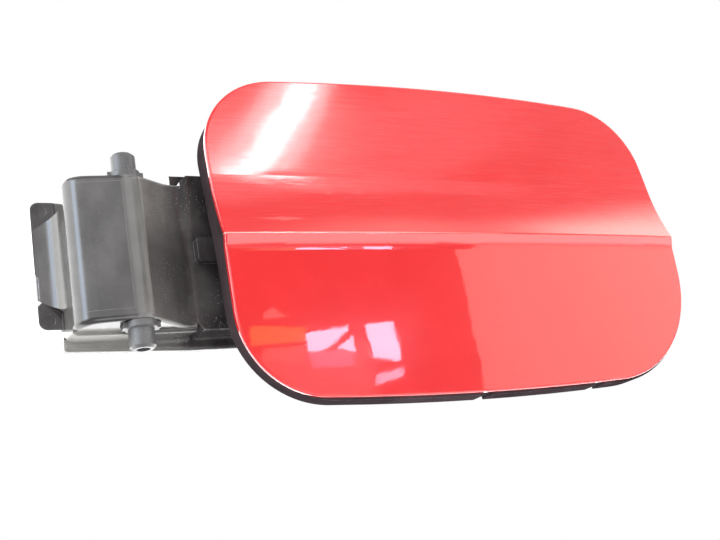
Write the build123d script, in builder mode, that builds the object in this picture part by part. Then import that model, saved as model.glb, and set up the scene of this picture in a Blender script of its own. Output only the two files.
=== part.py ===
import os
from math import atan2, cos, degrees, radians, sin, sqrt, tan

from build123d import *

# Fuel door with its gooseneck hinge arm. +Z runs up the hinge axis, +X runs from the hinge
# to the free edge, and -Y faces out of the car. The origin lies on the hinge axis, at the
# shoulder of the lower pivot peg.

# Pivot pegs and rod
peg_diameter = 8.5
peg_length = 6.8
peg_lead_in = 0.9
collar_diameter = 10.6
collar_thickness = 2.2
lug_width = 3.4
lug_reach = 0.8
rod_diameter = 4.4
rod_recess = 1.6
press_clearance = 0.02
running_clearance = 0.05
thrust_gap = 0.1
seat_clearance = 0.4

# Hinge arm seen from above: distances from the hinge axis
box_left = 19.9
box_right = 2.3
box_front_left = 2.2
box_front_right = 6.0
left_draft = 4.9
neck_start = 16.9
neck_depth = 4.0
neck_end = 39.0
plate_start = 53.0
plate_end = 129.0
plate_seat = -0.8
plate_depth = 8.5
arm_back = 16.4
back_slope_run = 12.0
arm_wall = 2.2
box_corner_radius = 8.0
nose_radius = 5.0
slope_radius = 12.0
neck_radius = 8.0
plate_end_radius = 3.0
rim_corner_radius = 1.0

# Hinge arm seen from the front and side
box_height = 49.9
arm_height = 56.4
arm_lift = 1.3
arm_corner = 2.6
draft_angle = 6.0
ledge_depth = 5.0
ledge_step = 1.0
top_corner_radius = 6.0
low_corner_radius = 3.0
front_edge_radius = 1.8
flange_width = 4.2
lip_left_width = 2.6
lip_radius = 1.2
flange_thickness = 2.4
bearing_diameter = 11.0
bearing_length = 6.0
rib_thickness = 1.8
rib_setback = 2.0
arm_rib_spacing = 18.0
cross_rib_inset = 6.0
cross_rib_count = 3
box_rib_spacing = 20.0
box_rib_end = 7.0

# Flange with two ears beside the hinge box
ear_reach = 7.4
ear_height = 44.6
ear_corner_radius = 3.0
notch_height = 18.4
notch_mouth = 11.0
notch_root = 3.2
notch_depth = 4.2
notch_radius = 1.2
cove_radius = 8.0
cove_height = 34.5
cove_taper = 5.0
pin_mark_diameter = 4.4
pin_mark_depth = 0.25
pin_mark_inset = 3.2

# Stop pad on the neck, under the edge of the door
pad_start = 22.9
pad_length = 12.0
pad_width = 8.4
pad_height = 3.2
pad_radius = 1.0

# Outer skin
door_width = 196.8
door_offset = 27.4
crease_height = 28.0
crease_reach = 16.0
upper_height = 61.5
lower_height = 57.0
edge_crown = 4.0
free_edge_crown = 4.6
foot_rise = 1.8
heel_inset = 3.0
top_left_radius = 31.0
top_right_radius = 30.0
bottom_right_radius = 47.0
bottom_left_radius = 31.0
skin_thickness = 1.6
skin_edge_radius = 0.8
bow_radius = 2700.0
band_height = 4.4
band_depth = 1.2
belly_depth = 0.95
foot_depth = 1.45
flare_angle = 24.0
flare_height = 24.0
upper_lean = 4.0
crease_radius = 1.0
band_radius = 12.0

# Inner carrier
rim_inset = 0.5
rim_foot_radius = 34.0
rim_wall = 2.4
rim_depth = 13.0
rim_drop = 1.4
rim_knee = 12.0
rim_bend_radius = 150.0
rim_lean = 8.5
rim_lower_lean = 3.0
web_recess = 4.3
web_thickness = 1.8
drain_width = 4.0
drain_depth = 1.2
drain_start = 119.4
drain_spacing = 52.0
boss_diameter = 8.0
carrier_rib_height = 1.2
carrier_rib_start = 140.0
carrier_rib_spacing = 14.0
carrier_rib_count = 4
carrier_rib_length = 22.0

# Screws
screw_diameter = 2.8
screw_hole = 4.0
screw_grip = 5.0
end_clearance = 0.3
head_diameter = 7.0
head_height = 2.4
head_radius = 0.9
arm_screw_inset = 9.0
arm_screw_end_inset = 7.0
arm_screw_spacing = 36.0

# Latch striker behind the free edge
striker_place = 208.0
striker_seat = -0.8
striker_base_width = 16.0
striker_base_height = 36.0
striker_base_thickness = 2.6
striker_post_width = 12.0
striker_post_thickness = 5.0
striker_post_length = 22.0
striker_window_height = 6.6
striker_window_length = 8.0
striker_tip_wall = 4.5
striker_radius = 2.0
striker_screw_spacing = 25.0

# Rubber buffers behind the free edge
buffer_place = 190.0
buffer_low = -9.0
buffer_high = 65.0
buffer_seat = 1.2
buffer_diameter = 9.5
buffer_height = 6.0
buffer_radius = 3.0
buffer_stem = 4.5
buffer_stem_length = 3.0
buffer_boss = 11.0

# Closing spring round the rod
wire_diameter = 1.0
coil_diameter = 5.6
coil_pitch = 1.4
coil_turns = 6
coil_start = 22.0
leg_length = 14.0
tang_reach = 0.4
tang_clearance = 0.1

# Places that follow from the sizes above
box_bottom = collar_thickness + thrust_gap
box_top = box_bottom + box_height
box_middle = box_bottom + box_height / 2
upper_shoulder = box_top + thrust_gap + collar_thickness
door_right = door_offset + door_width
door_middle = door_offset + door_width / 2
crown_margin = 2 * edge_crown
door_top = crease_height + upper_height
door_bottom = crease_height - lower_height
striker_screw_points = [
    (striker_place, crease_height + side * striker_screw_spacing / 2) for side in (-1, 1)
]
buffer_points = [(buffer_place, buffer_low), (buffer_place, buffer_high)]
arm_middle = box_middle + arm_lift
arm_bottom = arm_middle - arm_height / 2
arm_top = arm_middle + arm_height / 2
draft_rise = (ledge_depth + box_front_right) * tan(radians(draft_angle))
base_bottom = box_bottom - draft_rise - ledge_step
base_top = box_top + draft_rise
box_foot = -box_left - (arm_back + box_front_left) * tan(radians(left_draft))
slope_angle = atan2(neck_depth + box_front_right, neck_start - box_right)
neck_join = neck_start + slope_radius * tan(slope_angle / 2)
front_angle = atan2(box_front_right - box_front_left, box_left + box_right)
front_turn = degrees(front_angle)
tang_way = (sin(front_angle), cos(front_angle), 0)
arm_screw_points = [
    (place, arm_middle + side * arm_screw_spacing / 2)
    for place in (plate_start + arm_screw_inset, plate_end - arm_screw_end_inset)
    for side in (-1, 1)
]
cross_rib_first = plate_start + arm_screw_inset + cross_rib_inset
cross_rib_run = plate_end - arm_screw_end_inset - cross_rib_inset - cross_rib_first
cross_rib_middle = cross_rib_first + cross_rib_run / 2
flange_front = arm_back - flange_thickness
cove_end = flange_front - cove_radius
cove_wall = -box_left - (cove_end + box_front_left) * tan(radians(left_draft))
ear_right = box_foot + arm_wall
ear_left = ear_right - arm_wall - ear_reach
ear_bottom = box_middle - ear_height / 2
ear_top = box_middle + ear_height / 2
coil_end = coil_start + coil_pitch * coil_turns
through = arm_back + 2 * crease_reach

outward = (0, -1, 0)
upward = (0, 0, 1)

os.makedirs("parts", exist_ok=True)


def facing_plane(depth):
    """Plane across the depth direction at Y = depth, with X to the right and Z up."""
    return Plane.XZ.offset(-depth)


# The skin is bowed along its width. Its sections are drawn as (distance towards the car's
# outside, height) at the middle and at both ends, which lie further back.
station_reach = door_width / 2 + crown_margin
bow_fall = bow_radius - sqrt(bow_radius**2 - station_reach**2)
stations = ((-station_reach, bow_fall), (0, 0), (station_reach, bow_fall))
section_top = door_top + crown_margin
section_bottom = door_bottom - crown_margin
flare_radius = flare_height / (sin(radians(flare_angle)) - sin(radians(upper_lean)))
rim_knee_height = crease_height - rim_knee


def door_outline(inset, drop, foot_radius):
    """Outline of the door seen square on, moved in and down, with its own lower hinge corner."""
    left = door_offset + inset
    right = door_right - inset
    top = door_top - inset - drop
    bottom = door_bottom + inset - drop
    foot = bottom + foot_rise
    heel = right - heel_inset
    bottom_middle = (bottom + foot) / 2 - edge_crown
    with BuildSketch() as outline:
        with BuildLine():
            ThreePointArc((left, top), (door_middle, top + edge_crown), (right, top))
            ThreePointArc((right, top), (right + free_edge_crown, crease_height), (heel, bottom))
            ThreePointArc((heel, bottom), (door_middle, bottom_middle), (left, foot))
            Line((left, foot), (left, top))
        make_face()
        for corner, corner_radius in (
            ((left, top), top_left_radius),
            ((right, top), top_right_radius),
            ((heel, bottom), bottom_right_radius),
            ((left, foot), foot_radius),
        ):
            fillet(outline.vertices().sort_by_distance(corner)[0], radius=corner_radius - inset)
    return outline.sketch


def rim_outline(inset):
    """Outline of the carrier's rim, moved in from the edge of the door by the given amount."""
    return door_outline(inset, rim_drop, rim_foot_radius)


def skin_face(reach):
    """Edges of the skin's face from foot to top, with its crease at this reach."""
    with BuildLine() as face:
        lower = ThreePointArc(
            (reach - foot_depth, section_bottom),
            (reach - belly_depth, crease_height - lower_height / 2),
            (reach - band_depth, crease_height - band_height),
        )
        band = Line(lower @ 1, (reach, crease_height))
        flare = JernArc(
            start=band @ 1,
            tangent=(-sin(radians(flare_angle)), cos(radians(flare_angle))),
            radius=flare_radius,
            arc_size=upper_lean - flare_angle,
        )
        rise = section_top - crease_height - flare_height
        Line(flare @ 1, (flare @ 1) + Vector(-rise * tan(radians(upper_lean)), rise))
        fillet(face.vertices().sort_by_distance(band @ 0)[0], radius=band_radius)
        fillet(face.vertices().sort_by_distance(band @ 1)[0], radius=crease_radius)
    return face.line


def rim_back(depth):
    """Smooth back edge of the rim, as (depth, height): upright below, leaning back above."""
    with BuildLine() as back:
        knee = depth - crease_reach
        drop = rim_knee_height - section_bottom
        lower = Line(
            (knee - drop * tan(radians(rim_lower_lean)), section_bottom), (knee, rim_knee_height)
        )
        bend = JernArc(
            start=lower @ 1,
            tangent=lower % 1,
            radius=rim_bend_radius,
            arc_size=rim_lower_lean - rim_lean,
        )
        rise = section_top - (bend @ 1).Y
        Line(bend @ 1, (bend @ 1) + Vector(rise * tan(radians(rim_lean)), rise))
    return back.line


def between(front, back):
    """Closed section between two edges that run from foot to top."""
    with BuildSketch() as section:
        with BuildLine():
            add(front)
            add(back)
            Line(front @ 0, back @ 0)
            Line(front @ 1, back @ 1)
        make_face()
    return section.sketch


def box_plan(back_shift):
    """Hinge box seen from above, with its open back moved into the car by the given amount."""
    back = arm_back + back_shift
    foot = -box_left - (back + box_front_left) * tan(radians(left_draft))
    with BuildSketch() as plan:
        with BuildLine():
            shell = FilletPolyline(
                (foot, back),
                (-box_left, -box_front_left),
                (box_right, -box_front_right),
                (neck_start, neck_depth),
                (neck_end, neck_depth),
                (neck_end, back),
                radius=[box_corner_radius, nose_radius, slope_radius, rim_corner_radius],
            )
            Line(shell @ 1, shell @ 0)
        make_face()
    return plan.sketch


def arm_plan(back_shift):
    """Neck and plate of the arm seen from above, with the back moved by the given amount."""
    back = arm_back + back_shift
    plate_back = plate_seat + plate_depth + back_shift
    with BuildSketch() as plan:
        with BuildLine():
            shell = FilletPolyline(
                (box_foot, back),
                (box_foot, neck_depth),
                (neck_end, neck_depth),
                (plate_start, plate_seat),
                (plate_end, plate_seat),
                (plate_end, plate_back),
                (plate_start, plate_back),
                (plate_start - back_slope_run, back),
                radius=[
                    rim_corner_radius,
                    neck_radius,
                    neck_radius,
                    plate_end_radius,
                    rim_corner_radius,
                    neck_radius,
                ],
            )
            Line(shell @ 1, shell @ 0)
        make_face()
    return plan.sketch


def right_of(place):
    """Half plane to the right of the given distance from the hinge axis."""
    with BuildSketch() as half:
        with Locations((place, 0)):
            Rectangle(2 * plate_end, 2 * plate_end, align=(Align.MIN, Align.CENTER))
    return half.sketch


def box_side(inset):
    """Drafted side view of the hinge box, as (depth, height), moved in by the given amount."""
    reach = box_front_right + arm_wall
    slope = tan(radians(draft_angle))
    with BuildSketch() as side:
        with BuildLine():
            Polyline(
                (-reach, box_bottom + inset + arm_wall * slope),
                (ledge_depth, box_bottom - draft_rise + inset),
                (ledge_depth, base_bottom + inset),
                (2 * arm_back, base_bottom + inset),
                (2 * arm_back, base_top - inset),
                (ledge_depth, base_top - inset),
                (-reach, box_top - inset - arm_wall * slope),
                close=True,
            )
        make_face()
    return side.sketch


skin_front = skin_face(crease_reach)
skin_back = skin_face(crease_reach - skin_thickness)
rim_front = rim_back(-through)
rim_edge = rim_back(rim_depth)
web_back = rim_back(rim_depth - web_recess)
web_front = rim_back(rim_depth - web_recess - web_thickness)
rib_back = rim_back(rim_depth - web_recess + carrier_rib_height)
side_plane = Plane.YZ.offset(door_offset - crown_margin)
side_run = door_width + 2 * crown_margin

# Painted outer skin
with BuildPart() as door_panel:
    for across, back in stations:
        with BuildSketch(Plane((door_middle + across, back, 0), x_dir=outward, z_dir=(-1, 0, 0))):
            add(between(skin_front, skin_back))
    loft()
    with BuildSketch(facing_plane(arm_back)):
        add(door_outline(0, 0, bottom_left_radius))
    extrude(amount=through, mode=Mode.INTERSECT)
    front_edges = door_panel.faces().filter_by(lambda face: face.normal_at().Y < -0.5).edges()
    fillet(front_edges.filter_by(lambda edge: front_edges.count(edge) == 1), radius=skin_edge_radius)
door_panel.part.label = "door_panel"

# Web of the carrier, parallel to the smooth back edge of its rim
with BuildPart() as web:
    with BuildSketch(side_plane):
        add(between(web_front, web_back))
    extrude(amount=side_run)
    with BuildSketch(facing_plane(arm_back)):
        add(rim_outline(rim_inset + rim_wall / 2))
    extrude(amount=through, dir=outward, mode=Mode.INTERSECT)

# Low ribs on the back of the carrier
with BuildPart() as carrier_ribs:
    with BuildSketch(side_plane):
        add(between(web_front, rib_back))
    extrude(amount=side_run)
    with BuildSketch(facing_plane(arm_back)):
        with Locations((carrier_rib_start, crease_height)):
            with GridLocations(carrier_rib_spacing, 0, carrier_rib_count, 1):
                Rectangle(rib_thickness, carrier_rib_length)
    extrude(amount=through, mode=Mode.INTERSECT)

# Screw bosses and buffer seats, each up to its own seat
with BuildPart() as carrier_bosses:
    for seat, points, outer in (
        (plate_seat, arm_screw_points, boss_diameter),
        (striker_seat, striker_screw_points, boss_diameter),
        (buffer_seat, buffer_points, buffer_boss),
    ):
        with BuildSketch(facing_plane(seat)):
            with Locations(*points):
                Circle(outer / 2)
        extrude(amount=through)
    with BuildSketch(side_plane):
        add(between(rim_front, web_front))
    extrude(amount=side_run, mode=Mode.SUBTRACT)

# Inner carrier: rim, web, ribs, bosses with their holes, and drain notches in the lower edge
with BuildPart() as inner_carrier:
    with BuildSketch(facing_plane(arm_back)):
        add(rim_outline(rim_inset))
        add(rim_outline(rim_inset + rim_wall), mode=Mode.SUBTRACT)
    extrude(amount=through, dir=outward)
    with BuildSketch(side_plane):
        add(between(rim_front, rim_edge))
    extrude(amount=side_run, mode=Mode.INTERSECT)
    for across, back in stations:
        with BuildSketch(Plane((door_middle + across, back, 0), x_dir=outward, z_dir=(-1, 0, 0))):
            add(between(skin_back, skin_face(crease_reach + through)))
    loft(mode=Mode.SUBTRACT)
    add(web.part)
    add(carrier_ribs.part)
    add(carrier_bosses.part)
    for seat, points, bore, depth in (
        (plate_seat, arm_screw_points, screw_diameter, screw_grip),
        (striker_seat, striker_screw_points, screw_diameter, screw_grip),
        (buffer_seat, buffer_points, buffer_stem, buffer_stem_length),
    ):
        with BuildSketch(facing_plane(seat)):
            with Locations(*points):
                Circle(bore / 2 + press_clearance)
        extrude(amount=depth + end_clearance, mode=Mode.SUBTRACT)
    with BuildSketch(facing_plane(arm_back)):
        with Locations((drain_start + drain_spacing / 2, door_bottom)):
            with GridLocations(drain_spacing, 0, 2, 1):
                Rectangle(drain_width, 2 * crown_margin)
        add(rim_outline(rim_inset + drain_depth), mode=Mode.SUBTRACT)
    extrude(amount=through, dir=outward, mode=Mode.SUBTRACT)
inner_carrier.part.label = "inner_carrier"

# Outer form of the hinge box: its plan, its drafted side view and its rounded outer end
with BuildPart() as box_form:
    with BuildSketch(Plane.XY.offset(base_bottom)):
        add(box_plan(0))
        add(right_of(neck_join), mode=Mode.SUBTRACT)
    extrude(amount=base_top - base_bottom)
    with BuildSketch(Plane.YZ.offset(2 * box_foot)):
        add(box_side(0))
    extrude(amount=2 * plate_end, mode=Mode.INTERSECT)
    with BuildSketch(facing_plane(arm_back)):
        with BuildLine():
            FilletPolyline(
                (neck_join, base_bottom),
                (box_foot, base_bottom),
                (box_foot, base_top),
                (neck_join, base_top),
                radius=[low_corner_radius, top_corner_radius],
            )
            Line((neck_join, base_top), (neck_join, base_bottom))
        make_face()
    extrude(amount=through, mode=Mode.INTERSECT)
    front_wall = box_form.faces().filter_by(GeomType.PLANE).sort_by(Axis.Y)[0]
    fillet(front_wall.edges().filter_by(lambda edge: abs((edge % 0.5).Z) < 0.5), radius=front_edge_radius)

# Room inside the hinge box, open at the back
with BuildPart() as box_room:
    with BuildSketch(Plane.XY.offset(base_bottom + arm_wall)):
        add(box_plan(2 * arm_wall))
        offset(amount=-arm_wall, mode=Mode.REPLACE)
        add(right_of(neck_join), mode=Mode.SUBTRACT)
    extrude(amount=base_top - base_bottom - 2 * arm_wall, dir=upward)
    with BuildSketch(Plane.YZ.offset(2 * box_foot)):
        add(box_side(arm_wall))
    extrude(amount=2 * plate_end, mode=Mode.INTERSECT)

# Outer form of the neck and plate, with sloping shoulders beside the box
with BuildPart() as arm_form:
    with BuildSketch(Plane.XY.offset(arm_bottom)):
        add(arm_plan(0))
        add(right_of(neck_join), mode=Mode.INTERSECT)
    extrude(amount=arm_height)
    chamfer(arm_form.faces().sort_by(Axis.X)[0].edges().filter_by(Axis.Y), length=arm_corner)

# Cove between the side flange and the box, with sloping ends
with BuildPart() as cove_form:
    with BuildSketch(Plane.XY.offset(box_middle - cove_height / 2)):
        with BuildLine():
            cove = TangentArc(
                (cove_wall - cove_radius, flange_front), (cove_wall, cove_end), tangent=(1, 0)
            )
            Polyline(cove @ 1, (ear_right, cove_end), (ear_right, flange_front), cove @ 0)
        make_face()
    extrude(amount=cove_height)
    with BuildSketch(facing_plane(flange_front)):
        with BuildLine():
            Polyline(
                (ear_right, box_middle - cove_height / 2),
                (cove_wall, box_middle - cove_height / 2),
                (cove_wall - cove_radius, box_middle - cove_height / 2 + cove_taper),
                (cove_wall - cove_radius, box_middle + cove_height / 2 - cove_taper),
                (cove_wall, box_middle + cove_height / 2),
                (ear_right, box_middle + cove_height / 2),
                close=True,
            )
        make_face()
    extrude(amount=cove_radius, mode=Mode.INTERSECT)

# Gooseneck hinge arm: an open-backed tub with an outward flange
with BuildPart() as hinge_arm:
    add(box_form.part)
    add(arm_form.part)
    add(cove_form.part)
    # Lip along both back edges of the arm, and along the lower back edge of the box
    with BuildSketch(Plane.XY.offset(arm_bottom - flange_width)):
        add(arm_plan(0))
        add(arm_plan(-flange_thickness), mode=Mode.SUBTRACT)
        add(right_of(neck_join), mode=Mode.INTERSECT)
    extrude(amount=arm_height + 2 * flange_width)
    with BuildSketch(facing_plane(arm_back)):
        with BuildLine():
            FilletPolyline(
                (box_foot, box_bottom),
                (box_foot, base_bottom - lip_left_width),
                (neck_join, arm_bottom - flange_width),
                (neck_join, box_bottom),
                radius=[lip_radius, 0],
            )
            Line((neck_join, box_bottom), (box_foot, box_bottom))
        make_face()
    extrude(amount=flange_thickness)
    # Side flange with two ears and a notch
    with BuildSketch(facing_plane(arm_back)):
        with BuildLine():
            FilletPolyline(
                (ear_right, ear_bottom),
                (ear_left, ear_bottom),
                (ear_left, notch_height - notch_mouth / 2),
                (ear_left + notch_depth, notch_height - notch_root / 2),
                (ear_left + notch_depth, notch_height + notch_root / 2),
                (ear_left, notch_height + notch_mouth / 2),
                (ear_left, ear_top),
                (ear_right, ear_top),
                radius=[
                    ear_corner_radius,
                    notch_radius,
                    notch_radius,
                    notch_radius,
                    notch_radius,
                    ear_corner_radius,
                ],
            )
            Line((ear_right, ear_top), (ear_right, ear_bottom))
        make_face()
    extrude(amount=flange_thickness)
    # Inside of the tub, left open at the back
    add(box_room.part, mode=Mode.SUBTRACT)
    with BuildSketch(Plane.XY.offset(arm_bottom + arm_wall)):
        add(arm_plan(2 * arm_wall))
        offset(amount=-arm_wall, mode=Mode.REPLACE)
        add(right_of(neck_join + arm_wall), mode=Mode.INTERSECT)
    extrude(amount=arm_height - 2 * arm_wall, dir=upward, mode=Mode.SUBTRACT)
    # Ribs along the neck and plate, and in the hinge box
    for side in (-1, 1):
        with BuildSketch(Plane.XY.offset(arm_middle + side * arm_rib_spacing / 2)):
            add(arm_plan(-rib_setback))
            add(right_of(neck_join), mode=Mode.INTERSECT)
        extrude(amount=rib_thickness / 2, both=True)
        with BuildSketch(Plane.XY.offset(box_middle + side * box_rib_spacing / 2)):
            add(box_plan(-rib_setback))
            add(right_of(-box_rib_end), mode=Mode.SUBTRACT)
        extrude(amount=rib_thickness / 2, both=True)
    # Ribs across the plate
    with BuildSketch(Plane.XY.offset(arm_bottom + arm_wall / 2)):
        with Locations((cross_rib_middle, plate_seat + arm_wall / 2)):
            with GridLocations(cross_rib_run / (cross_rib_count - 1), 0, cross_rib_count, 1):
                Rectangle(
                    rib_thickness,
                    plate_depth - rib_setback - arm_wall / 2,
                    align=(Align.CENTER, Align.MIN),
                )
    extrude(amount=arm_height - arm_wall)
    # Bearing tubes for the rod, inside both ends of the box
    for end, way in ((box_bottom, 1), (box_top, -1)):
        with BuildSketch(Plane.XY.offset(end)):
            Circle(bearing_diameter / 2)
        extrude(amount=way * (arm_wall + bearing_length))
    with BuildSketch(Plane.XY.offset(box_bottom)):
        Circle(rod_diameter / 2 + running_clearance)
    extrude(amount=box_height, mode=Mode.SUBTRACT)
    # Flat round seats for the collars of the pegs
    for end, way in ((box_bottom, -1), (box_top, 1)):
        with BuildSketch(Plane.XY.offset(end)):
            Circle(collar_diameter / 2 + lug_reach + seat_clearance)
        extrude(amount=way * collar_thickness, mode=Mode.SUBTRACT)
    # Stop pad under the edge of the door
    with BuildSketch(facing_plane(neck_depth + arm_wall / 2)):
        with Locations((pad_start, crease_height)):
            RectangleRounded(pad_length, pad_width, pad_radius, align=(Align.MIN, Align.CENTER))
    extrude(amount=pad_height + arm_wall / 2)
    # Screw holes through the plate
    with BuildSketch(facing_plane(plate_seat + arm_wall)):
        with Locations(*arm_screw_points):
            Circle(screw_hole / 2)
    extrude(amount=arm_wall, mode=Mode.SUBTRACT)
    # Round ejector marks on the ears
    with BuildSketch(facing_plane(flange_front + pin_mark_depth)):
        with Locations(
            (ear_left + pin_mark_inset, ear_bottom + pin_mark_inset),
            (ear_left + pin_mark_inset, ear_top - pin_mark_inset),
        ):
            Circle(pin_mark_diameter / 2)
    extrude(amount=pin_mark_depth, mode=Mode.SUBTRACT)
hinge_arm.part.label = "hinge_arm"

# Steel rod, held at both ends in the pegs, with a cross hole for the end of the spring
with BuildPart() as axle_rod:
    with BuildSketch(Plane.XY.offset(rod_recess - peg_length)):
        Circle(rod_diameter / 2)
    extrude(amount=upper_shoulder + 2 * (peg_length - rod_recess))
    chamfer(axle_rod.edges().filter_by(GeomType.CIRCLE), length=press_clearance + end_clearance)
    with BuildSketch(Plane(origin=(0, 0, coil_end), z_dir=tang_way)):
        Circle(wire_diameter / 2 + tang_clearance)
    extrude(amount=rod_diameter, both=True, mode=Mode.SUBTRACT)
axle_rod.part.label = "axle_rod"


def pivot_sleeve(shoulder, way):
    """Collared peg on an end of the rod: the peg points along way from its shoulder."""
    with BuildPart() as sleeve:
        with BuildSketch(Plane.XY.offset(shoulder)):
            Circle(peg_diameter / 2)
        extrude(amount=way * peg_length)
        tip = sleeve.faces().sort_by(Axis.Z)[-1 if way > 0 else 0]
        chamfer(tip.edges(), length=peg_lead_in)
        with BuildSketch(Plane.XY.offset(shoulder)):
            Circle(collar_diameter / 2)
            Rectangle(collar_diameter + 2 * lug_reach, lug_width)
        extrude(amount=-way * collar_thickness)
        with BuildSketch(Plane.XY.offset(shoulder - way * collar_thickness)):
            Circle(rod_diameter / 2 + press_clearance)
        extrude(amount=way * (peg_length + collar_thickness), mode=Mode.SUBTRACT)
    return sleeve.part


lower_pivot_sleeve = pivot_sleeve(0, -1)
upper_pivot_sleeve = pivot_sleeve(upper_shoulder, 1)
lower_pivot_sleeve.label = "lower_pivot_sleeve"
upper_pivot_sleeve.label = "upper_pivot_sleeve"

# Closing spring: coil round the rod, a leg against the front wall and an end through the rod
helix = Helix(coil_pitch, coil_pitch * coil_turns, coil_diameter / 2)
coil = Pos(0, 0, coil_start) * Rot(0, 0, -90 - front_turn) * helix
with BuildPart() as torsion_spring:
    with BuildSketch(Plane(origin=coil @ 0, z_dir=coil % 0)):
        RegularPolygon(wire_diameter / 2, 8)
    sweep(path=coil, is_frenet=True)
    with BuildSketch(Plane(origin=coil @ 0, z_dir=coil % 0)):
        RegularPolygon(wire_diameter / 2, 8)
    extrude(amount=-leg_length)
    with BuildSketch(Plane(origin=coil @ 1, z_dir=tang_way)):
        RegularPolygon(wire_diameter / 2, 8)
    extrude(amount=coil_diameter / 2 + rod_diameter / 2 + tang_reach)
torsion_spring.part.label = "torsion_spring"

# Latch striker: a screwed base and a post with the window for the lock bolt
with BuildPart() as latch_striker:
    with BuildSketch(facing_plane(striker_seat)):
        with Locations((striker_place, crease_height)):
            RectangleRounded(striker_base_width, striker_base_height, striker_radius)
    extrude(amount=-striker_base_thickness)
    with BuildSketch(facing_plane(striker_seat)):
        with Locations((striker_place, crease_height)):
            Rectangle(striker_post_thickness, striker_post_width)
    extrude(amount=-striker_post_length)
    fillet(
        latch_striker.faces().sort_by(Axis.Y)[-1].edges().filter_by(Axis.X), radius=striker_radius
    )
    with BuildSketch(Plane.YZ.offset(striker_place - striker_post_thickness / 2)):
        with Locations((striker_seat + striker_post_length - striker_tip_wall, crease_height)):
            Rectangle(
                striker_window_length, striker_window_height, align=(Align.MAX, Align.CENTER)
            )
    extrude(amount=striker_post_thickness, mode=Mode.SUBTRACT)
    with BuildSketch(facing_plane(striker_seat)):
        with Locations(*striker_screw_points):
            Circle(screw_hole / 2)
    extrude(amount=-striker_base_thickness, mode=Mode.SUBTRACT)
latch_striker.part.label = "latch_striker"


def screw(point, seat, clamped):
    """Pan-head screw through a plate of the clamped thickness into the boss at the seat."""
    with BuildPart() as fastener:
        with BuildSketch(facing_plane(seat + clamped)):
            with Locations(point):
                Circle(head_diameter / 2)
        extrude(amount=-head_height)
        fillet(fastener.edges().sort_by(Axis.Y)[-1], radius=head_radius)
        with BuildSketch(facing_plane(seat + clamped)):
            with Locations(point):
                Circle(screw_diameter / 2)
        extrude(amount=clamped + screw_grip)
    return fastener.part


def rubber_buffer(point):
    """Round-ended rubber stop with a stem in its seat on the carrier."""
    with BuildPart() as stop:
        with BuildSketch(facing_plane(buffer_seat)):
            with Locations(point):
                Circle(buffer_diameter / 2)
        extrude(amount=-buffer_height)
        fillet(stop.edges().sort_by(Axis.Y)[-1], radius=buffer_radius)
        with BuildSketch(facing_plane(buffer_seat)):
            with Locations(point):
                Circle(buffer_stem / 2)
        extrude(amount=buffer_stem_length)
    return stop.part


pieces = [
    door_panel.part,
    inner_carrier.part,
    hinge_arm.part,
    axle_rod.part,
    lower_pivot_sleeve,
    upper_pivot_sleeve,
    torsion_spring.part,
    latch_striker.part,
]
for number, point in enumerate(arm_screw_points, 1):
    pieces.append(screw(point, plate_seat, arm_wall))
    pieces[-1].label = f"arm_screw_{number}"
for number, point in enumerate(striker_screw_points, 1):
    pieces.append(screw(point, striker_seat, striker_base_thickness))
    pieces[-1].label = f"striker_screw_{number}"
for name, point in zip(("lower_buffer", "upper_buffer"), buffer_points):
    pieces.append(rubber_buffer(point))
    pieces[-1].label = name

for piece in pieces:
    export_step(piece, f"parts/{piece.label}.step")
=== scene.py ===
import math

import bmesh
import bpy
from mathutils import Matrix, Vector


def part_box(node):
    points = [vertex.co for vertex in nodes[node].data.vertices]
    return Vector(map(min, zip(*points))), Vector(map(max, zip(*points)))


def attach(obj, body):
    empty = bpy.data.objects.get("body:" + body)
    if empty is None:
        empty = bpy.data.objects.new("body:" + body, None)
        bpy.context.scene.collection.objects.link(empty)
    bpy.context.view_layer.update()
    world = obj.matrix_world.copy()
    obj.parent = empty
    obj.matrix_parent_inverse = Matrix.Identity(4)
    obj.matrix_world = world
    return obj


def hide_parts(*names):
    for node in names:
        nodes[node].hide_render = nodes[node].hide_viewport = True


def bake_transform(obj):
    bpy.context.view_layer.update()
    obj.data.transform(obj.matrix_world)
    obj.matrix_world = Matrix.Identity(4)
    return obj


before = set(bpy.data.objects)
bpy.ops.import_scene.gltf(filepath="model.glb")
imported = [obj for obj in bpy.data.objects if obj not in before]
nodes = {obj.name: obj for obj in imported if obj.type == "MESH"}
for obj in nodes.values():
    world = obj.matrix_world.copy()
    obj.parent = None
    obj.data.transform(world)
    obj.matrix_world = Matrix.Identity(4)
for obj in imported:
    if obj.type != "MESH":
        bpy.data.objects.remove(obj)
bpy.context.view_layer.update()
MM = 0.001
EDGE_SAMPLES = 6


# Shader helpers


def node_tree(name):
    """New material with its shader, and its Object coordinates ready for patterns."""
    material = bpy.data.materials.new(name)
    material.use_nodes = True
    tree = material.node_tree
    shader = tree.nodes["Principled BSDF"]
    place = tree.nodes.new("ShaderNodeTexCoord")
    return material, tree, shader, place.outputs["Object"]


def mapped(tree, place, scale, turn=(0, 0, 0)):
    """Object coordinates stretched and turned for one pattern."""
    mapping = tree.nodes.new("ShaderNodeMapping")
    mapping.inputs["Scale"].default_value = scale
    mapping.inputs["Rotation"].default_value = turn
    tree.links.new(place, mapping.inputs["Vector"])
    return mapping.outputs["Vector"]


def axes(tree, place):
    """The X, Y and Z sockets of a place."""
    parts = tree.nodes.new("ShaderNodeSeparateXYZ")
    tree.links.new(place, parts.inputs["Vector"])
    return parts.outputs


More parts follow.
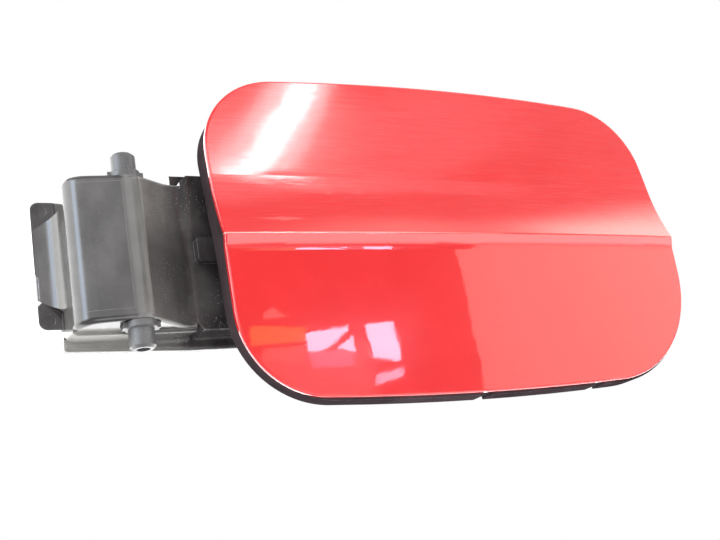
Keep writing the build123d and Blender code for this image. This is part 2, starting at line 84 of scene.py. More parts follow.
def noise(tree, place, scale, detail=4.0, rough=0.55, twist=0.0):
    """Noise pattern, from 0 to 1."""
    texture = tree.nodes.new("ShaderNodeTexNoise")
    texture.inputs["Scale"].default_value = scale
    texture.inputs["Detail"].default_value = detail
    texture.inputs["Roughness"].default_value = rough
    texture.inputs["Distortion"].default_value = twist
    tree.links.new(place, texture.inputs["Vector"])
    return texture.outputs["Fac"]


def ramp(tree, value, stops):
    """Colour or grey ramp from (position, colour) stops."""
    node = tree.nodes.new("ShaderNodeValToRGB")
    while len(node.color_ramp.elements) < len(stops):
        node.color_ramp.elements.new(0.5)
    for element, (position, colour) in zip(node.color_ramp.elements, stops):
        element.position = position
        element.color = (*colour, 1.0)
    tree.links.new(value, node.inputs["Fac"])
    return node.outputs["Color"]


def grey(value):
    """Neutral tone for a ramp stop."""
    return (value, value, value)


def math_node(tree, operation, *values):
    """Math node whose inputs are sockets or plain numbers."""
    node = tree.nodes.new("ShaderNodeMath")
    node.operation = operation
    for socket, value in zip(node.inputs, values):
        if isinstance(value, (int, float)):
            socket.default_value = value
        else:
            tree.links.new(value, socket)
    return node.outputs[0]


def mix_colour(tree, factor, first, second):
    """Mixes two colours, each a socket or a plain tone."""
    node = tree.nodes.new("ShaderNodeMix")
    node.data_type = "RGBA"
    tree.links.new(factor, node.inputs["Factor"])
    for socket, colour in ((node.inputs[6], first), (node.inputs[7], second)):
        if isinstance(colour, tuple):
            socket.default_value = (*colour, 1.0)
        else:
            tree.links.new(colour, socket)
    return node.outputs[2]


def bump(tree, height, strength, distance, normal=None):
    """Normals raised by a height pattern, over other normals where given."""
    node = tree.nodes.new("ShaderNodeBump")
    node.inputs["Strength"].default_value = strength
    node.inputs["Distance"].default_value = distance
    tree.links.new(height, node.inputs["Height"])
    if normal is not None:
        tree.links.new(normal, node.inputs["Normal"])
    return node.outputs["Normal"]


def soft_edge(tree, radius):
    """Normals that round the sharp moulding edges off by the given radius."""
    node = tree.nodes.new("ShaderNodeBevel")
    node.samples = EDGE_SAMPLES
    if isinstance(radius, float):
        node.inputs["Radius"].default_value = radius
    else:
        tree.links.new(radius, node.inputs["Radius"])
    return node.outputs["Normal"]


def specks(tree, place, scale, size, share):
    """Scattered round specks: the cells' middles, in a random share of the cells."""
    cells = tree.nodes.new("ShaderNodeTexVoronoi")
    cells.inputs["Scale"].default_value = scale
    tree.links.new(place, cells.inputs["Vector"])
    picked = tree.nodes.new("ShaderNodeSeparateColor")
    tree.links.new(cells.outputs["Color"], picked.inputs["Color"])
    near = math_node(tree, "LESS_THAN", cells.outputs["Distance"], size)
    chosen = math_node(tree, "LESS_THAN", picked.outputs["Red"], share)
    return math_node(tree, "MULTIPLY", near, chosen)


# Finishes


PAINT_DEEP = (0.93, 0.008, 0.012)
PAINT_BRIGHT = (0.98, 0.011, 0.015)
PAINT_STREAK = (1.0, 0.4, 0.4)
CREASE_HIGHLIGHT_TONE = (1.0, 0.66, 0.60)
CREASE = 28.05 * MM
CREASE_HALF = 0.24 * MM
DOOR_SPAN = 200.0 * MM
RUB_SPAN = 100.0 * MM
PEEL_DEPTH = 0.04 * MM
SCRATCH_DEPTH = 0.0028 * MM
UNDERCOAT_DEPTH = 0.03 * MM


def red_paint():
    """Glossy red paint under scratched clear lacquer with orange peel, and a painted highlight along
    the crease.
    """
    material, tree, shader, place = node_tree("red_paint")
    x, _, z = axes(tree, place)
    along = noise(tree, mapped(tree, place, (50, 50, 2200), (0, 0.12, 0)), 1.0, 6.0, 0.75, 0.3)
    across = noise(tree, mapped(tree, place, (70, 70, 1700), (0, -0.25, 0)), 1.0, 6.0, 0.75, 0.3)
    scratches = math_node(tree, "MAXIMUM", along, across)
    hair = ramp(tree, scratches, [(0.45, grey(0.12)), (0.70, grey(0.26))])
    tree.links.new(hair, shader.inputs["Roughness"])
    shader.inputs["Specular IOR Level"].default_value = 0.16
    shader.inputs["Coat Weight"].default_value = 0.9
    shader.inputs["Coat Roughness"].default_value = 0.02

    # Lacquer: orange peel all over, fine scratches above the crease
    peel = bump(tree, noise(tree, place, 260.0, 2.0), 0.14, PEEL_DEPTH)
    fine = noise(tree, mapped(tree, place, (60, 60, 5200), (0, 0.1, 0)), 1.0, 3.0, 0.65, 0.2)
    height = math_node(tree, "DIVIDE", z, RUB_SPAN)
    rubbed = ramp(tree, height, [(0.28, grey(0.1)), (0.40, grey(1.0))])
    coarse = ramp(tree, scratches, [(0.6, grey(0.0)), (0.8, grey(1.3))])
    lines = math_node(tree, "MULTIPLY", math_node(tree, "ADD", fine, coarse), rubbed)
    tree.links.new(bump(tree, lines, 1.0, SCRATCH_DEPTH, peel), shader.inputs["Coat Normal"])
    tree.links.new(bump(tree, scratches, 0.3, UNDERCOAT_DEPTH), shader.inputs["Normal"])

    # Colour: faint streaks above the crease, and a painted highlight along the crease towards the hinge
    tone = ramp(tree, noise(tree, place, 60.0, 3.0), [(0.3, PAINT_DEEP), (0.7, PAINT_BRIGHT)])
    pale = ramp(tree, scratches, [(0.5, grey(0.0)), (0.72, grey(0.09))])
    tone = mix_colour(tree, math_node(tree, "MULTIPLY", pale, rubbed), tone, PAINT_STREAK)
    # Painted highlight: pale line along the crease, fading out away from the hinge
    crease = math_node(tree, "COMPARE", z, CREASE, CREASE_HALF)
    along_door = math_node(tree, "DIVIDE", x, DOOR_SPAN)
    hinge_side = ramp(tree, along_door, [(0.45, grey(1.0)), (0.72, grey(0.0))])
    crease_highlight = math_node(tree, "MULTIPLY", crease, math_node(tree, "MULTIPLY", hinge_side, 0.75))
    tree.links.new(mix_colour(tree, crease_highlight, tone, CREASE_HIGHLIGHT_TONE), shader.inputs["Base Color"])
    return material


EDGE_WEAR_AND_SHEEN_TONE = (0.5, 0.5, 0.48)
NECK_LIGHT_TONE = (0.36, 0.355, 0.335)
NECK_LIGHT_ROUGHNESS = 0.55
LINE_TONE = grey(0.20)
DUST_TONE = (0.5, 0.49, 0.47)
FLOW_DEPTH = 0.04 * MM
GRAIN_DEPTH = 0.4 * MM


def moulding(name, tone, low_gloss, high_gloss, edge, shine=0.5, dust=0.0, edge_wear_and_sheen=0.0, hinge=False):
    """Moulded plastic with handling marks, rounded edges with a pale line painted on them as rubbing
    and as painted highlight, and a little dust.

    The hinge arm also has painted light on its neck, pale and duller there, parting lines and a rounded
    lip.
    """
    material, tree, shader, place = node_tree(name)
    shader.inputs["Specular IOR Level"].default_value = shine
    cloud = noise(tree, place, 70.0, 5.0)
    rubbed = noise(tree, mapped(tree, place, (60, 60, 14), (0, 0, 0.2)), 1.0, 4.0)
    marks = math_node(tree, "MULTIPLY", cloud, rubbed)
    gloss = ramp(tree, marks, [(0.15, grey(low_gloss)), (0.4, grey(high_gloss))])
    tree.links.new(gloss, shader.inputs["Roughness"])
    dark = tuple(0.55 * part for part in tone)
    base = ramp(tree, marks, [(0.14, dark), (0.38, tone)])
    rounded = soft_edge(tree, edge)
    patch = ramp(tree, noise(tree, place, 55.0, 3.0), [(0.42, grey(0.0)), (0.68, grey(dust))])
    if edge_wear_and_sheen:
        # Pale edge line: handling wear together with a painted edge highlight
        base = mix_colour(tree, worn_and_sheen_edge(tree, place, rounded, edge_wear_and_sheen), base, EDGE_WEAR_AND_SHEEN_TONE)
    if hinge:
        painted_light = neck_painted_light(tree, place)
        matt = math_node(tree, "MAXIMUM", gloss, math_node(tree, "MULTIPLY", painted_light, NECK_LIGHT_ROUGHNESS))
        tree.links.new(matt, shader.inputs["Roughness"])
        # Painted light: pale highlight band on the nose, lit slope, underside lit as from below and
        # bright cove
        base = mix_colour(tree, painted_light, base, NECK_LIGHT_TONE)
        base = mix_colour(tree, parting_lines(tree, place), base, LINE_TONE)
        rounded = soft_edge(tree, lip_rounding(tree, place, edge))
        patch = neck_dust(tree, place, patch)
    if dust:
        fine = math_node(tree, "MULTIPLY", specks(tree, place, 1500.0, 0.2, 0.45), patch)
        base = mix_colour(tree, fine, base, DUST_TONE)
    tree.links.new(base, shader.inputs["Base Color"])
    flow = noise(tree, mapped(tree, place, (190, 190, 55)), 1.0, 3.0)
    wavy = bump(tree, flow, 1.0, FLOW_DEPTH, rounded)
    grain = noise(tree, place, 900.0, 3.0)
    tree.links.new(bump(tree, grain, 0.05, GRAIN_DEPTH, wavy), shader.inputs["Normal"])
    return material


def worn_and_sheen_edge(tree, place, rounded, edge_wear_and_sheen):
    """Broken pale line on the moulding edges: partly rubbing from handling, partly a painted edge
    highlight.
    """
    form = tree.nodes.new("ShaderNodeNewGeometry")
    turned = tree.nodes.new("ShaderNodeVectorMath")
    turned.operation = "DOT_PRODUCT"
    tree.links.new(form.outputs["Normal"], turned.inputs[0])
    tree.links.new(rounded, turned.inputs[1])
    bent = math_node(tree, "SUBTRACT", 1.0, turned.outputs["Value"])
    line = ramp(tree, bent, [(0.06, grey(0.0)), (0.2, grey(edge_wear_and_sheen))])
    broken = ramp(tree, noise(tree, place, 700.0, 3.0), [(0.42, grey(0.1)), (0.58, grey(1.0))])
    return math_node(tree, "MULTIPLY", line, broken)


NECK_START = -10.0 * MM
NECK_SPAN = 30.0 * MM
ARM_HEIGHT = 55.0 * MM
COVE_START = -17.0 * MM
COVE_FADE = 4.0 * MM
COVE_DEPTH = 7.4 * MM
COVE_HALF = 4.4 * MM
UNDER_TOP = 1.4 * MM
UNDER_END = 5.0 * MM


def neck_painted_light(tree, place):
    """Painted light on the neck: a pale highlight band on the nose, a lit slope, the underside lit as
    from below and a bright cove by the flange, with pale blotches.
    """
    x, y, z = axes(tree, place)
    across = math_node(tree, "MULTIPLY_ADD", x, 1 / NECK_SPAN, -NECK_START / NECK_SPAN)
    nose_stops = ((0.23, 0.0), (0.29, 0.4), (0.4, 0.45), (0.48, 0.0))
    nose = ramp(tree, across, [(at, grey(level)) for at, level in nose_stops])
    slope_stops = ((0.38, 0.0), (0.47, 0.6), (0.74, 0.6), (0.9, 0.3), (1.0, 0.0))
    slope = ramp(tree, across, [(at, grey(level)) for at, level in slope_stops])
    height = math_node(tree, "DIVIDE", z, ARM_HEIGHT)
    height_stops = ((0.1, 0.6), (0.35, 0.4), (0.5, 0.35), (0.72, 0.9), (1.0, 1.0))
    level = ramp(tree, height, [(at, grey(level)) for at, level in height_stops])
    slope = math_node(tree, "MULTIPLY", slope, level)
    inward = math_node(tree, "MULTIPLY_ADD", x, -1 / COVE_FADE, COVE_START / COVE_FADE)
    cove = ramp(tree, inward, [(0.0, grey(0.0)), (1.0, grey(1.0))])
    cove = math_node(tree, "MULTIPLY", cove, math_node(tree, "COMPARE", y, COVE_DEPTH, COVE_HALF))
    cove = math_node(tree, "MULTIPLY", cove, 0.45)
    under = math_node(tree, "LESS_THAN", z, UNDER_TOP)
    under = math_node(tree, "MULTIPLY", under, math_node(tree, "LESS_THAN", x, UNDER_END))
    neck = math_node(tree, "MAXIMUM", nose, slope)
    painted_light = math_node(tree, "MAXIMUM", neck, math_node(tree, "MAXIMUM", cove, under))
    cloudy = ramp(tree, noise(tree, place, 90.0, 5.0), [(0.3, grey(0.65)), (0.65, grey(1.0))])
    painted_light = math_node(tree, "MULTIPLY", painted_light, cloudy)
    # Pale blotches at random, over the painted light
    handled = noise(tree, mapped(tree, place, (90, 90, 60)), 1.0, 5.0)
    pale_blotches = ramp(tree, handled, [(0.42, grey(0.0)), (0.7, grey(0.16))])
    return math_node(tree, "MAXIMUM", painted_light, pale_blotches)


BOX_END = 4.0 * MM


def neck_dust(tree, place, patch):
    """Dust lies on the neck and the plate, and hardly on the handled hinge box."""
    beyond = math_node(tree, "GREATER_THAN", axes(tree, place)["X"], BOX_END)
    return math_node(tree, "MULTIPLY", patch, math_node(tree, "MULTIPLY_ADD", beyond, 0.85, 0.15))


LIP_TOP = 0.3 * MM
LIP_ROUND = 2.2 * MM


def lip_rounding(tree, place, edge):
    """Edge radius of the arm: small all over, and full along its lower back lip."""
    lip = math_node(tree, "LESS_THAN", axes(tree, place)["Z"], LIP_TOP)
    return math_node(tree, "MULTIPLY_ADD", lip, LIP_ROUND, edge)


LINE_TOP = 49.9 * MM
LINE_FOOT = 5.7 * MM
LINE_RIGHT = -2.7 * MM
LINE_LEFT = -17.0 * MM
LINE_HALF = 0.09 * MM
LINE_FRONT = -1.0 * MM


def parting_lines(tree, place):
    """Faint frame of mould parting lines on the front of the hinge box."""
    x, y, z = axes(tree, place)
    middle_x, half_x = (LINE_LEFT + LINE_RIGHT) / 2, (LINE_RIGHT - LINE_LEFT) / 2
    middle_z, half_z = (LINE_TOP + LINE_FOOT) / 2, (LINE_TOP - LINE_FOOT) / 2
    top = math_node(tree, "COMPARE", z, LINE_TOP, LINE_HALF)
    foot = math_node(tree, "COMPARE", z, LINE_FOOT, LINE_HALF)
    level = math_node(tree, "MAXIMUM", top, foot)
    level = math_node(tree, "MULTIPLY", level, math_node(tree, "COMPARE", x, middle_x, half_x))
    upright = math_node(tree, "COMPARE", x, LINE_RIGHT, LINE_HALF)
    upright = math_node(tree, "MULTIPLY", upright, math_node(tree, "COMPARE", z, middle_z, half_z))
    outside = math_node(tree, "LESS_THAN", y, LINE_FRONT)
    frame_lines = math_node(tree, "MAXIMUM", level, upright)
    faded = math_node(tree, "MULTIPLY", frame_lines, noise(tree, place, 160.0, 2.0))
    return math_node(tree, "MULTIPLY", faded, outside)


def metal(name, tone, gloss):
    """Drawn or plated steel with fine streaks along the hinge axis."""
    material, tree, shader, place = node_tree(name)
    drawn = noise(tree, mapped(tree, place, (900, 900, 60)), 1.0, 3.0)
    worn = tuple(0.8 * part for part in tone)
    tree.links.new(ramp(tree, drawn, [(0.3, tone), (0.7, worn)]), shader.inputs["Base Color"])
    shader.inputs["Metallic"].default_value = 1.0
    shader.inputs["Roughness"].default_value = gloss
    return material


def dress(names, material):
    """Gives carried-over nodes their finish."""
    for name in names:
        for each in nodes[name].material_slots:
            each.material = material


dress(["door_panel"], red_paint())
carrier_black = moulding("carrier_black", (0.096, 0.072, 0.080), 0.42, 0.56, 0.3 * MM, 0.0, 0.3, 0.5)
dress(["inner_carrier"], carrier_black)
arm_black = moulding("arm_black", (0.058, 0.052, 0.054), 0.13, 0.26, 0.25 * MM, 0.5, 0.9, 0.4, True)
dress(["hinge_arm"], arm_black)
striker_black = moulding("striker_black", (0.035, 0.034, 0.036), 0.3, 0.45, 0.25 * MM, 0.4, 0.2)
dress(["latch_striker"], striker_black)
sleeve_grey = moulding("sleeve_grey", (0.13, 0.13, 0.135), 0.34, 0.48, 0.25 * MM, 0.5, 0.7, 0.6)
dress(["lower_pivot_sleeve", "upper_pivot_sleeve"], sleeve_grey)
buffer_rubber = moulding("buffer_rubber", (0.022, 0.022, 0.022), 0.7, 0.85, 0.3 * MM, 0.3, 0.3)
dress(["lower_buffer", "upper_buffer"], buffer_rubber)
dress(["axle_rod"], metal("rod_steel", (0.5, 0.5, 0.52), 0.35))
spring_wire = metal("spring_wire", (0.42, 0.42, 0.44), 0.28)
screw_zinc = metal("screw_zinc", (0.42, 0.42, 0.40), 0.36)


SHARP_TURN = math.radians(38)


def piece(name, shape, material, body, stands_for):
    """Object from a finished shape, riding on its body in place of a node."""
    bmesh.ops.recalc_face_normals(shape, faces=shape.faces)
    mesh = bpy.data.meshes.new(name)
    shape.to_mesh(mesh)
    shape.free()
    mesh.polygons.foreach_set("use_smooth", [True] * len(mesh.polygons))
    mesh.set_sharp_from_angle(angle=SHARP_TURN)
    made = bpy.data.objects.new(name, mesh)
    bpy.context.collection.objects.link(made)
    mesh.materials.append(material)
    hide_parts(stands_for)
    if body:
        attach(made, body)
    return made


# Closing spring: coil round the rod, leg on the front wall, tang through the rod
WIRE = 1.0 * MM
WIRE_SIDES = 12
COIL_RADIUS = 2.8 * MM
COIL_FOOT = 22.0 * MM
COIL_TOP = 30.4 * MM
COIL_TURNS = 6
COIL_STEPS = 24
HOOK_BEND = math.radians(20)
HOOK_STEPS = 8
WALL_TURN = math.atan2(3.8, 22.2)
LEG = 14.0 * MM
TANG_END = 2.6 * MM


def corners_of(geometry):
    """The vertices among the results of an operator."""
    return [part for part in geometry if isinstance(part, bmesh.types.BMVert)]


def closing_spring():
    """Round wire spun along the coil, hooked inwards at its top and drawn out to a leg at its foot."""
    shape = bmesh.new()
    start = -math.pi / 2 - WALL_TURN
    bend_radius = COIL_RADIUS * math.sin(HOOK_BEND) / (1 + math.sin(HOOK_BEND))
    ring = bmesh.ops.create_circle(shape, segments=WIRE_SIDES, radius=WIRE / 2)["verts"]
    stand = Matrix.Rotation(start, 4, "Z") @ Matrix.Translation((COIL_RADIUS, 0, COIL_FOOT))
    bmesh.ops.transform(shape, verts=ring, matrix=stand @ Matrix.Rotation(math.pi / 2, 4, "X"))
    foot_edges = list(shape.edges)
    along = Vector((-math.sin(start), math.cos(start), 0))
    steps = COIL_TURNS * COIL_STEPS
    coil = bmesh.ops.spin(
        shape,
        geom=foot_edges,
        axis=(0, 0, 1),
        cent=(0, 0, 0),
        dvec=(0, 0, (COIL_TOP - COIL_FOOT) / steps),
        angle=COIL_TURNS * 2 * math.pi - HOOK_BEND,
        steps=steps,
    )["geom_last"]
    end = start - HOOK_BEND
    centre = (COIL_RADIUS - bend_radius) * Vector((math.cos(end), math.sin(end), 0))
    hook = bmesh.ops.spin(
        shape,
        geom=coil,
        axis=(0, 0, 1),
        cent=centre,
        angle=math.pi / 2 + HOOK_BEND,
        steps=HOOK_STEPS,
    )["geom_last"]
    inward = Vector((math.sin(WALL_TURN), math.cos(WALL_TURN), 0))
    hook_edges = [part for part in hook if isinstance(part, bmesh.types.BMEdge)]
    tip = corners_of(bmesh.ops.extrude_edge_only(shape, edges=hook_edges)["geom"])
    reach = TANG_END - sum((vert.co.dot(inward) for vert in tip), 0.0) / len(tip)
    bmesh.ops.translate(shape, verts=tip, vec=inward * reach)
    toe = corners_of(bmesh.ops.extrude_edge_only(shape, edges=foot_edges)["geom"])
    bmesh.ops.translate(shape, verts=toe, vec=-along * LEG)
    bmesh.ops.holes_fill(shape, edges=[edge for edge in shape.edges if edge.is_boundary])
    made = piece("closing_spring", shape, spring_wire, None, "torsion_spring")
    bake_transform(made)


closing_spring()

# Pan-head screws with a six-lobed socket
HEAD_RADIUS = 3.5 * MM
HEAD_HEIGHT = 2.4 * MM
HEAD_ROUND = 0.9 * MM
HEAD_SIDES = 48
ROUND_STEPS = 6
SOCKET_LOBES = 6
SOCKET_RADIUS = 1.55 * MM
SOCKET_LOBE = 0.22 * MM
SOCKET_DEPTH = 1.3 * MM
SHANK_RADIUS = 1.4 * MM


def height_of(face):
    """Height of a face on the upright screw."""
    return face.calc_center_median().z


def pan_screw(node):
    """Round-edged head with its socket, and a plain shank as long as the node."""
    low, high = (Vector(corner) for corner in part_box(node))
    middle = (low + high) / 2
    shape = bmesh.new()
    bmesh.ops.create_cone(
        shape,
        cap_ends=True,
        segments=HEAD_SIDES,
        radius1=HEAD_RADIUS,
        radius2=HEAD_RADIUS,
        depth=HEAD_HEIGHT,
    )
    top = max(shape.faces, key=height_of)
    foot = min(shape.faces, key=height_of)
    bmesh.ops.bevel(
        shape,
        geom=list(top.edges),
        offset=HEAD_ROUND,
        segments=ROUND_STEPS,
        profile=0.5,
        affect="EDGES",
        material=-1,
    )
    bmesh.ops.inset_region(shape, faces=[foot], thickness=HEAD_RADIUS - SHANK_RADIUS)
    tip = corners_of(bmesh.ops.extrude_face_region(shape, geom=[foot])["geom"])
    bmesh.ops.translate(shape, verts=tip, vec=(0, 0, HEAD_HEIGHT - (high.y - low.y)))
    bmesh.ops.delete(shape, geom=[foot], context="FACES_ONLY")
    top = max(shape.faces, key=lambda face: (round(height_of(face), 6), face.calc_area()))
    rim = HEAD_RADIUS - HEAD_ROUND
    bmesh.ops.inset_region(shape, faces=[top], thickness=rim - SOCKET_RADIUS)
    for vert in top.verts:
        turn = math.atan2(vert.co.y, vert.co.x)
        across = SOCKET_RADIUS + SOCKET_LOBE * math.cos(SOCKET_LOBES * turn)
        vert.co.x, vert.co.y = across * math.cos(turn), across * math.sin(turn)
    well = corners_of(bmesh.ops.extrude_face_region(shape, geom=[top])["geom"])
    bmesh.ops.translate(shape, verts=well, vec=(0, 0, -SOCKET_DEPTH))
    bmesh.ops.delete(shape, geom=[top], context="FACES_ONLY")
    stand = Matrix.Translation((middle.x, high.y - HEAD_HEIGHT / 2, middle.z))
    upright = stand @ Matrix.Rotation(-math.pi / 2, 4, "X")
    bmesh.ops.transform(shape, verts=shape.verts, matrix=upright)
    piece("pan_" + node, shape, screw_zinc, "door", node)


for name in sorted(nodes):
    if "screw" in name:
        pan_screw(name)


# Camera, floor and surroundings
CAMERA_PLACE = (-0.0977, -0.3142, -0.0930)
CAMERA_TARGET = (0.07457, -0.0160, 0.01374)
CAMERA_ROLL = math.radians(10.29)
CAMERA_LENS = 51.98
SENSOR_WIDTH = 36.0
CLIP_START = 0.01
FLOOR_SIZE = 6.0
FLOOR_HEIGHT = -0.2


def camera_at(place, target, roll, lens):
    """Camera at a place, looking at a target, with its picture turned by the roll."""
    back = (Vector(place) - Vector(target)).normalized()
    right = Vector((0, 0, 1)).cross(back).normalized()
    up = back.cross(right)
    across = math.cos(roll) * right - math.sin(roll) * up
    upright = math.sin(roll) * right + math.cos(roll) * up
    data = bpy.data.cameras.new("camera")
    data.lens = lens
    data.sensor_width = SENSOR_WIDTH
    data.clip_start = CLIP_START
    camera = bpy.data.objects.new("camera", data)
    turn = Matrix((across, upright, back)).transposed().to_4x4()
    camera.matrix_world = Matrix.Translation(Vector(place)) @ turn
    bpy.context.collection.objects.link(camera)
    bpy.context.scene.camera = camera


camera_at(CAMERA_PLACE, CAMERA_TARGET, CAMERA_ROLL, CAMERA_LENS)


def floor():
    """Wide pale floor under the part, which hangs above it on its pegs."""
    shape = bmesh.new()
    bmesh.ops.create_grid(shape, x_segments=1, y_segments=1, size=FLOOR_SIZE)
    bmesh.ops.translate(shape, verts=shape.verts, vec=(0, 0, FLOOR_HEIGHT))
    mesh = bpy.data.meshes.new("floor")
    shape.to_mesh(mesh)
    shape.free()
    ground = bpy.data.objects.new("floor", mesh)
    bpy.context.collection.objects.link(ground)
    material, _, shader, _ = node_tree("floor_white")
    shader.inputs["Base Color"].default_value = (0.9, 0.9, 0.9, 1.0)
    shader.inputs["Roughness"].default_value = 0.8
    mesh.materials.append(material)
    ground.visible_glossy = False


floor()

# White all round, to the camera and in reflections, and a plain soft light
world = bpy.context.scene.world or bpy.data.worlds.new("world")
bpy.context.scene.world = world
world.use_nodes = True
sky = world.node_tree
sky.nodes.clear()
ray = sky.nodes.new("ShaderNodeLightPath")
mirrored = math_node(sky, "MAXIMUM", ray.outputs["Is Glossy Ray"], ray.outputs["Is Transmission Ray"])
seen = math_node(sky, "MAXIMUM", ray.outputs["Is Camera Ray"], mirrored)
white = sky.nodes.new("ShaderNodeBackground")
white.inputs["Color"].default_value = (1.0, 1.0, 1.0, 1.0)
white.inputs["Strength"].default_value = 1.0
soft = sky.nodes.new("ShaderNodeBackground")
soft.inputs["Color"].default_value = (1.0, 1.0, 1.0, 1.0)
soft.inputs["Strength"].default_value = 1.0
choose = sky.nodes.new("ShaderNodeMixShader")
sky.links.new(seen, choose.inputs["Fac"])
sky.links.new(soft.outputs[0], choose.inputs[1])
sky.links.new(white.outputs[0], choose.inputs[2])
out = sky.nodes.new("ShaderNodeOutputWorld")
sky.links.new(choose.outputs[0], out.inputs["Surface"])


STAGE_MIDDLE = Vector((0.07, -0.015, 0.0))
STAGE_REACH = 3.0
GRID_ACROSS = 24
GRID_UP = 16


def way(turn, rise):
    """Direction from the part: turned from straight out of the car towards the free edge, and up."""
    turn, rise = math.radians(turn), math.radians(rise)
    return Vector((math.sin(turn) * math.cos(rise), -math.cos(turn) * math.cos(rise), math.sin(rise)))


def hang(name, shape, strength, colour):
    """Glowing sheet of the surroundings, seen only in reflections."""
    mesh = bpy.data.meshes.new(name)
    shape.to_mesh(mesh)
    shape.free()
    sheet = bpy.data.objects.new(name, mesh)
    bpy.context.collection.objects.link(sheet)
    material = bpy.data.materials.new(name)
    material.use_nodes = True
    tree = material.node_tree
    tree.nodes.clear()
    glow = tree.nodes.new("ShaderNodeEmission")
    glow.inputs["Color"].default_value = (*colour, 1.0)
    glow.inputs["Strength"].default_value = strength
    clear = tree.nodes.new("ShaderNodeBsdfTransparent")
    edge = tree.nodes.new("ShaderNodeAttribute")
    edge.attribute_name = "glow"
    fade = tree.nodes.new("ShaderNodeMixShader")
    tree.links.new(edge.outputs["Fac"], fade.inputs["Fac"])
    tree.links.new(clear.outputs[0], fade.inputs[1])
    tree.links.new(glow.outputs[0], fade.inputs[2])
    end = tree.nodes.new("ShaderNodeOutputMaterial")
    tree.links.new(fade.outputs[0], end.inputs["Surface"])
    mesh.materials.append(material)
    sheet.visible_camera = False
    sheet.visible_diffuse = False
    sheet.visible_shadow = False


WHITE = (1.0, 1.0, 1.0)


def soft_card(name, turns, rises, strength, fades, colour=WHITE, reach=STAGE_REACH, lean=0.0):
    """Curved sheet between two turns and two rises, fading over degrees at left, right, foot and top.

    Its left edge leans by the given degrees of turn from foot to top.
    """
    shape = bmesh.new()
    bmesh.ops.create_grid(shape, x_segments=GRID_ACROSS, y_segments=GRID_UP, size=1.0)
    layer = shape.verts.layers.float.new("glow")
    for vert in shape.verts:
        left = turns[0] + lean * (vert.co.y + 1) / 2
        turn = left + (turns[1] - left) * (vert.co.x + 1) / 2
        rise = rises[0] + (rises[1] - rises[0]) * (vert.co.y + 1) / 2
        glow = 1.0
        rooms = (turn - left, turns[1] - turn, rise - rises[0], rises[1] - rise)
        for room, fade in zip(rooms, fades):
            if fade:
                share = min(1.0, room / fade)
                glow *= share * share * (3 - 2 * share)
        vert[layer] = glow
        vert.co = STAGE_MIDDLE + reach * way(turn, rise)
    hang(name, shape, strength, colour)


def sharp_card(name, corners, strength, rim=0.0, colour=WHITE, reach=STAGE_REACH):
    """Flat sheet with its corners given as (turn, rise) directions and a fading rim in degrees."""
    shape = bmesh.new()
    layer = shape.verts.layers.float.new("glow")
    places = [STAGE_MIDDLE + reach * way(*corner) for corner in corners]
    sheet = shape.faces.new([shape.verts.new(place) for place in places])
    if rim:
        wide = reach * math.radians(rim)
        bmesh.ops.inset_region(shape, faces=[sheet], thickness=wide, use_even_offset=True)
    for vert in sheet.verts:
        vert[layer] = 1.0
    hang(name, shape, strength, colour)


FLAG_DEPTH = -45.6 * MM
FLAG_SOFT = 0.3 * MM
FLAG_FADE = 10.0 * MM


def flag_card(name, left, full, right, foot, top, strength):
    """Small sheet close to the door that hides the lamp from the start of the flare.

    It fades a little at its left, foot and top, and slowly from full to right.
    """
    shape = bmesh.new()
    layer = shape.verts.layers.float.new("glow")
    columns = []
    rows = ((foot - FLAG_SOFT, 0.0), (foot, 1.0), (top, 1.0), (top + FLAG_SOFT, 0.0))
    for x, level in ((left - FLAG_FADE, 0.0), (left, 1.0), (full, 1.0), (right, 0.0)):
        column = [shape.verts.new((x, FLAG_DEPTH, z)) for z, row in rows]
        for vert, (z, row) in zip(column, rows):
            vert[layer] = level * row
        columns.append(column)
    for near, far in zip(columns, columns[1:]):
        for low in range(len(rows) - 1):
            shape.faces.new((near[low], far[low], far[low + 1], near[low + 1]))
    hang(name, shape, strength, WHITE)


# Surroundings: bright table below, windows at the left, dim room ahead, pale wall at the right
# Each card has its directions in degrees, its strength, its fading edges in degrees and its tone
COOL = (0.82, 0.95, 1.12)
WARM = (1.0, 0.96, 0.88)
PANE = (1.0, 0.73, 1.0)
ORANGE = (1.0, 1.0, 0.33)
NEAR = 2.8
soft_card("table_far", (8, 64), (-16, 5), 5.3, (6, 10, 5, 6), WHITE, 2.95)
soft_card("table_front", (-40, 110), (-64, -22), 4.2, (25, 25, 10, 8))
soft_card("table_behind", (95, 265), (-65, 0), 6.0, (15, 15, 10, 8))
soft_card("left_window", (-185, -48), (-6, 50), 5.8, (10, 12, 6, 12))
soft_card("left_strip", (-84, -56), (0, 45), 11.0, (11, 11, 4, 10), COOL, 2.9)
soft_card("left_front", (-60, 9), (6, 46), 3.1, (12, 5, 4, 12))
soft_card("front_shade", (-8, 1), (15.5, 23.0), 2.0, (3.5, 3.5, 3.5, 3.5), WHITE, 2.95)
sharp_card("dim_room", [(9, 9.5), (36.1, 6), (36.9, 25), (9, 26)], 0.65, reach=3.1)
soft_card("right_wall", (35.5, 80), (2, 24), 3.3, (0, 10, 4, 6), WARM, lean=1.0)
soft_card("high_right", (54, 96), (25, 50), 5.0, (16, 12, 4, 8), WARM)
soft_card("high_back", (38, 80), (44, 66), 2.3, (16, 10, 8, 4), WARM, 3.1)
soft_card("low_glow", (15, 28), (6.5, 12.6), 1.75, (3, 1, 1, 1), reach=2.95)
PANE_A = [(22.7, 13.6), (26.2, 13.9), (26.1, 13.4), (24.1, 11.9), (22.6, 12.0)]
PANE_C = [(27.6, 13.7), (29.8, 13.8), (29.9, 10.8), (29.7, 10.3), (27.6, 10.8)]
ORANGE_PATCH = [(18.6, 14.9), (22.9, 14.2), (22.5, 12.8), (18.7, 13.3)]
sharp_card("pane_a", PANE_A, 21.0, 0.06, PANE, NEAR)
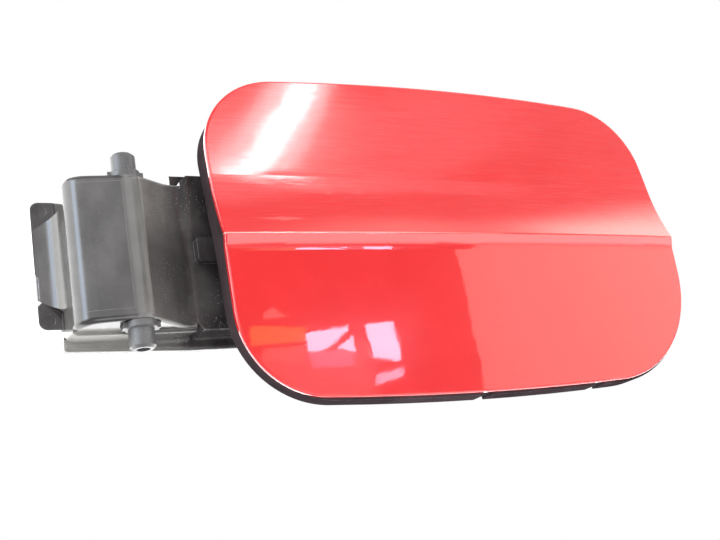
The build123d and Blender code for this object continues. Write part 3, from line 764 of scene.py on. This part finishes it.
sharp_card("pane_b", [(24.9, 11.8), (26.5, 12.9), (26.4, 11.4), (25.6, 11.6)], 20.0, 0.06, PANE, NEAR)
sharp_card("pane_low", [(22.7, 12.0), (26.3, 11.5), (26.1, 10.5), (23.0, 10.7)], 4.5, 0.3, PANE, 2.9)
sharp_card("pane_c", PANE_C, 21.0, 0.06, PANE, NEAR)
sharp_card("pane_d", [(27.8, 9.6), (29.9, 9.7), (29.8, 9.1), (27.5, 8.8)], 12.0, 0.15, PANE, NEAR)
sharp_card("orange_patch", ORANGE_PATCH, 2.9, 0.1, ORANGE, NEAR)
sharp_card("pale_leaf", [(19.7, 15.9), (20.6, 16.4), (21.8, 15.4), (19.7, 15.3)], 2.8, 0.2, WARM, NEAR)
sharp_card("pale_patch", [(19.4, 12.9), (22.5, 12.5), (22.4, 11.4), (19.4, 11.8)], 2.3, 0.2, WARM, 2.9)
LAMP_UPPER = [(20.0, 32.4), (21.6, 32.5), (22.8, 33.2), (24.2, 34.5), (26.4, 35.4), (27.8, 36.8)]
LAMP_LOWER = [(30.4, 36.5), (28.7, 35.0), (26.3, 33.4), (24.9, 32.4), (23.4, 31.7), (20.0, 31.4)]
sharp_card("lamp", LAMP_UPPER + LAMP_LOWER, 30.0, 0.9, WHITE, NEAR)
HAZE_UPPER = [(18.0, 33.2), (20.3, 33.5), (22.0, 34.6), (23.6, 35.7), (25.8, 36.8), (27.5, 38.2)]
HAZE_LOWER = [(32.2, 36.8), (30.4, 34.8), (28.6, 33.3), (26.6, 31.8), (24.6, 30.8), (22.4, 30.4)]
HAZE_LEFT = [(18.0, 30.2)]
sharp_card("lamp_haze", HAZE_UPPER + HAZE_LOWER + HAZE_LEFT, 9.5, 2.4, WHITE, 2.85)
flag_card("lamp_flag", 68.0 * MM, 108.0 * MM, 152.0 * MM, 75.7 * MM, 77.6 * MM, 2.4)
sharp_card("small_lamp", [(34.8, 54.2), (37.0, 52.4), (40.7, 53.0), (39.0, 54.4)], 3.2, 0.4, WARM, NEAR)
soft_card("upper_glow", (22, 52), (28, 35.5), 1.8, (6, 14, 1, 2.5), WHITE, 3.05)
soft_card("flare_left", (12, 34), (36, 52), 2.2, (4, 12, 2, 9), WHITE, 3.05)
soft_card("lamp_glow", (8, 37), (29.5, 37.5), 4.2, (4, 16, 2, 4), WHITE, 2.9)

bpy.context.scene.view_settings.view_transform = "Standard"
